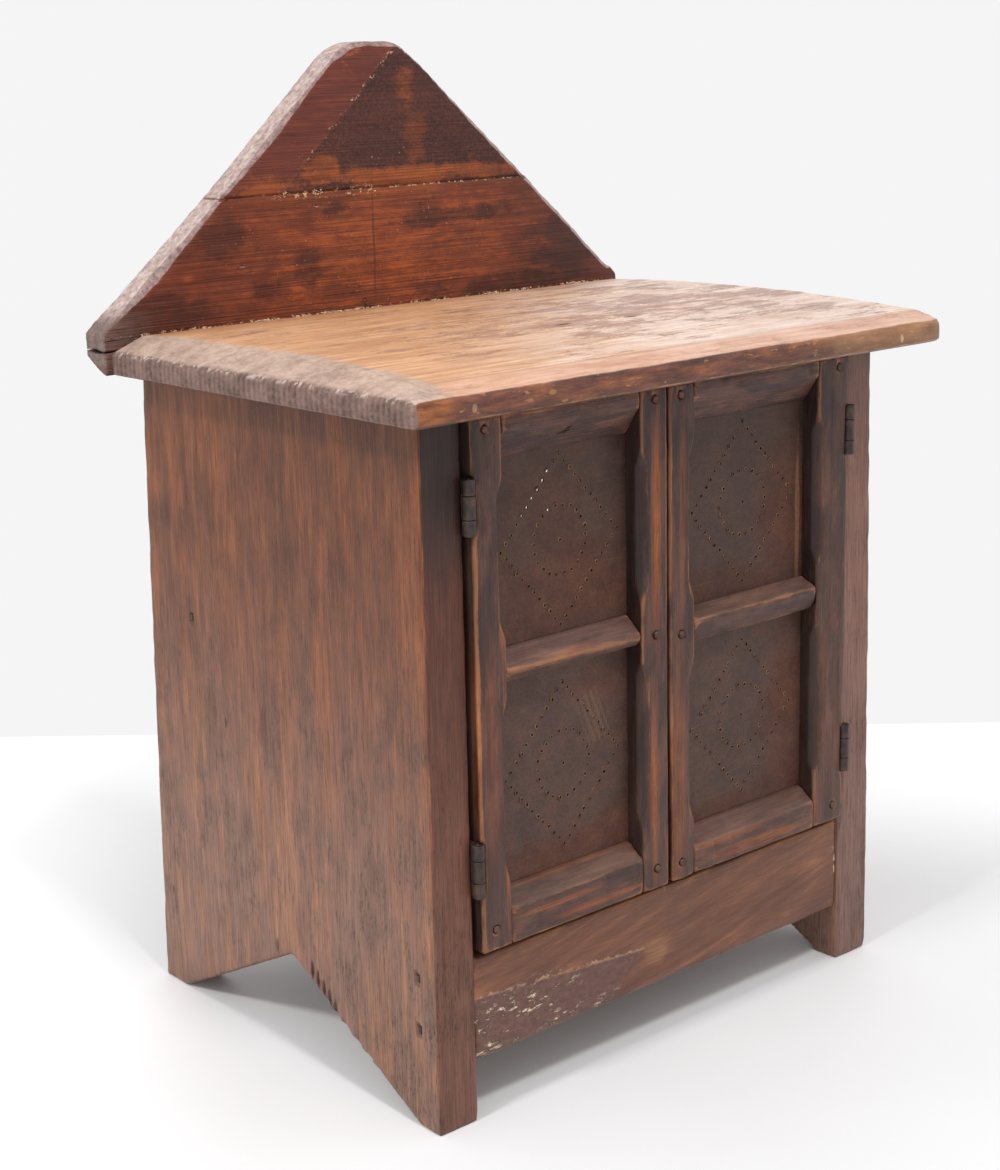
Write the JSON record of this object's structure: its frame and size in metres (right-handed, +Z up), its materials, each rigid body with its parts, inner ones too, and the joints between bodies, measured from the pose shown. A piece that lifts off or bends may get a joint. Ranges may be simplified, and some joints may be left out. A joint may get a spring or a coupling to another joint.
{
  "type": "pie safe",
  "caption": "Small open-backed cupboard with punched-tin doors, a crowned overhanging top and a tall peaked back board, on thick sides cut to a V at the foot.",
  "frame": {"origin": "under the middle of the whole object, on the surface it stands on", "axes": "+Z up, the doors face -Y, +X to the right of someone who faces the doors"},
  "size_m": [0.446, 0.326, 0.62],
  "materials": {
    "side_wood": "old brown stain worn to orange streaks, satin",
    "top_wood": "stain worn through to pale orange pine, satin",
    "gallery_wood": "deep red-brown varnish, satin",
    "door_wood": "dark charcoal-brown stain with orange wear, satin",
    "inside_wood": "bare aged pine, dull",
    "tin": "dark oxidised tinplate with rust bloom, dull",
    "iron": "dark rusted iron, dull"
  },
  "bodies": {
    "case": {"left_side": "side_wood", "right_side": "side_wood", "apron": "side_wood", "floor_board": "inside_wood", "middle_shelf": "inside_wood", "top_board": "top_wood", "gallery_lower_board": "gallery_wood", "gallery_upper_board": "gallery_wood", "gallery_nail_left": "iron", "gallery_nail_middle": "iron", "gallery_nail_right": "iron", "left_apron_nail_1": "iron", "left_apron_nail_2": "iron", "left_shelf_nail": "iron", "right_apron_nail_1": "iron", "right_apron_nail_2": "iron", "right_shelf_nail": "iron", "left_lower_hinge_case_leaf": "iron", "left_lower_hinge_pin": "iron", "left_upper_hinge_case_leaf": "iron", "left_upper_hinge_pin": "iron", "right_lower_hinge_case_leaf": "iron", "right_lower_hinge_pin": "iron", "right_upper_hinge_case_leaf": "iron", "right_upper_hinge_pin": "iron"},
    "left_door": {"left_hinge_stile": "door_wood", "left_meeting_stile": "door_wood", "left_top_rail": "door_wood", "left_middle_rail": "door_wood", "left_bottom_rail": "door_wood", "left_upper_tin": "tin", "left_lower_tin": "tin", "left_hinge_top_peg": "door_wood", "left_hinge_bottom_peg": "door_wood", "left_meeting_top_peg": "door_wood", "left_meeting_middle_peg": "door_wood", "left_meeting_bottom_peg": "door_wood", "left_lower_hinge_door_leaf": "iron", "left_upper_hinge_door_leaf": "iron"},
    "right_door": {"right_hinge_stile": "door_wood", "right_meeting_stile": "door_wood", "right_top_rail": "door_wood", "right_middle_rail": "door_wood", "right_bottom_rail": "door_wood", "right_upper_tin": "tin", "right_lower_tin": "tin", "right_hinge_top_peg": "door_wood", "right_hinge_bottom_peg": "door_wood", "right_meeting_top_peg": "door_wood", "right_meeting_middle_peg": "door_wood", "right_meeting_bottom_peg": "door_wood", "right_lower_hinge_door_leaf": "iron", "right_upper_hinge_door_leaf": "iron"}
  },
  "joints": [
    {"name": "left_door_hinge", "type": "hinge", "parent": "case", "child": "left_door", "pos_m": [-0.1645, -0.1386, 0.261], "axis": [0, 0, -1], "range_deg": [0, 175]},
    {"name": "right_door_hinge", "type": "hinge", "parent": "case", "child": "right_door", "pos_m": [0.1545, -0.1386, 0.261], "axis": [0, 0, 1], "range_deg": [0, 175]}
  ]
}
